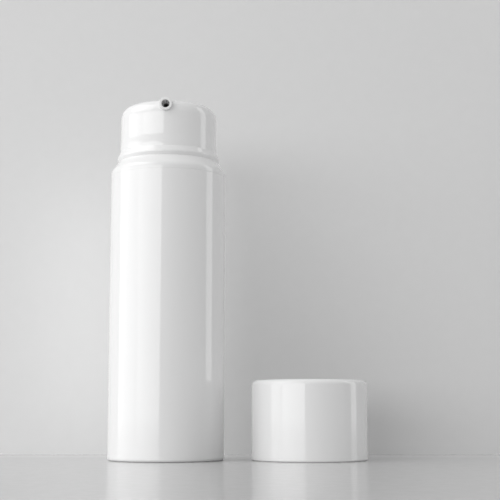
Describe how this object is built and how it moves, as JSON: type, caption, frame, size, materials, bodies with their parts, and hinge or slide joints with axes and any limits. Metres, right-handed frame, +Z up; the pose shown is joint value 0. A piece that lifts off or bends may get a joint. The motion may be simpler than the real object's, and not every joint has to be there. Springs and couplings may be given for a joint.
{
  "type": "airless pump bottle",
  "caption": "Cylindrical gloss white airless pump bottle with a spring push head, front nozzle, rising follower piston and a separate overcap standing beside it.",
  "frame": {"origin": "centre of the bottle's foot ring, on the surface it stands on", "axes": "+Z up along the bottle's axis, -Y the way the nozzle points, +X towards the overcap"},
  "size_m": [0.0891, 0.04, 0.1231],
  "materials": {
    "gloss_shell": "high gloss injection moulding",
    "gloss_head": "high gloss injection moulding",
    "gloss_cap": "high gloss injection moulding",
    "inner_plastic": "natural moulded polypropylene",
    "piston_plastic": "soft moulded polyethylene",
    "seal_rubber": "white elastomer",
    "steel": "drawn stainless steel"
  },
  "bodies": {
    "bottle": {"bottle_body": "gloss_shell", "inner_cylinder": "inner_plastic", "base_plug": "inner_plastic", "pump_collar": "gloss_shell", "collar_seal": "seal_rubber", "pump_gasket": "seal_rubber", "pump_housing": "inner_plastic", "ball_retainer": "inner_plastic", "stem_bush": "inner_plastic", "return_spring": "steel"},
    "plunger": {"piston_rod": "inner_plastic"},
    "head": {"actuator": "gloss_head", "nozzle_tip": "gloss_head", "upper_stem": "inner_plastic"},
    "valve_piston": {"pump_piston": "piston_plastic"},
    "inlet_valve": {"inlet_ball": "steel"},
    "follower": {"follower_piston": "piston_plastic"},
    "cap": {"overcap": "gloss_cap", "overcap_liner": "inner_plastic"}
  },
  "joints": [
    {"name": "pump_press", "type": "slide", "parent": "bottle", "child": "plunger", "axis": [0, 0, -1], "range_m": [0, 0.0045], "stiffness_N_per_m": 350, "springref_m": -0.006, "deforming": ["return_spring"]},
    {"name": "head_turn", "type": "hinge", "parent": "plunger", "child": "head", "pos_m": [0, 0, 0.11], "axis": [0, 0, 1], "continuous": true},
    {"name": "piston_lag", "type": "slide", "parent": "plunger", "child": "valve_piston", "axis": [0, 0, 1], "range_m": [0, 0.0005]},
    {"name": "inlet_ball_lift", "type": "slide", "parent": "bottle", "child": "inlet_valve", "axis": [0, 0, 1], "range_m": [0, 0.0008]},
    {"name": "follower_rise", "type": "slide", "parent": "bottle", "child": "follower", "axis": [0, 0, 1], "range_m": [0, 0.067]},
    {"name": "cap_lift", "type": "slide", "parent": "bottle", "child": "cap", "axis": [0, 0, 1], "range_m": [0, 0.13]}
  ]
}
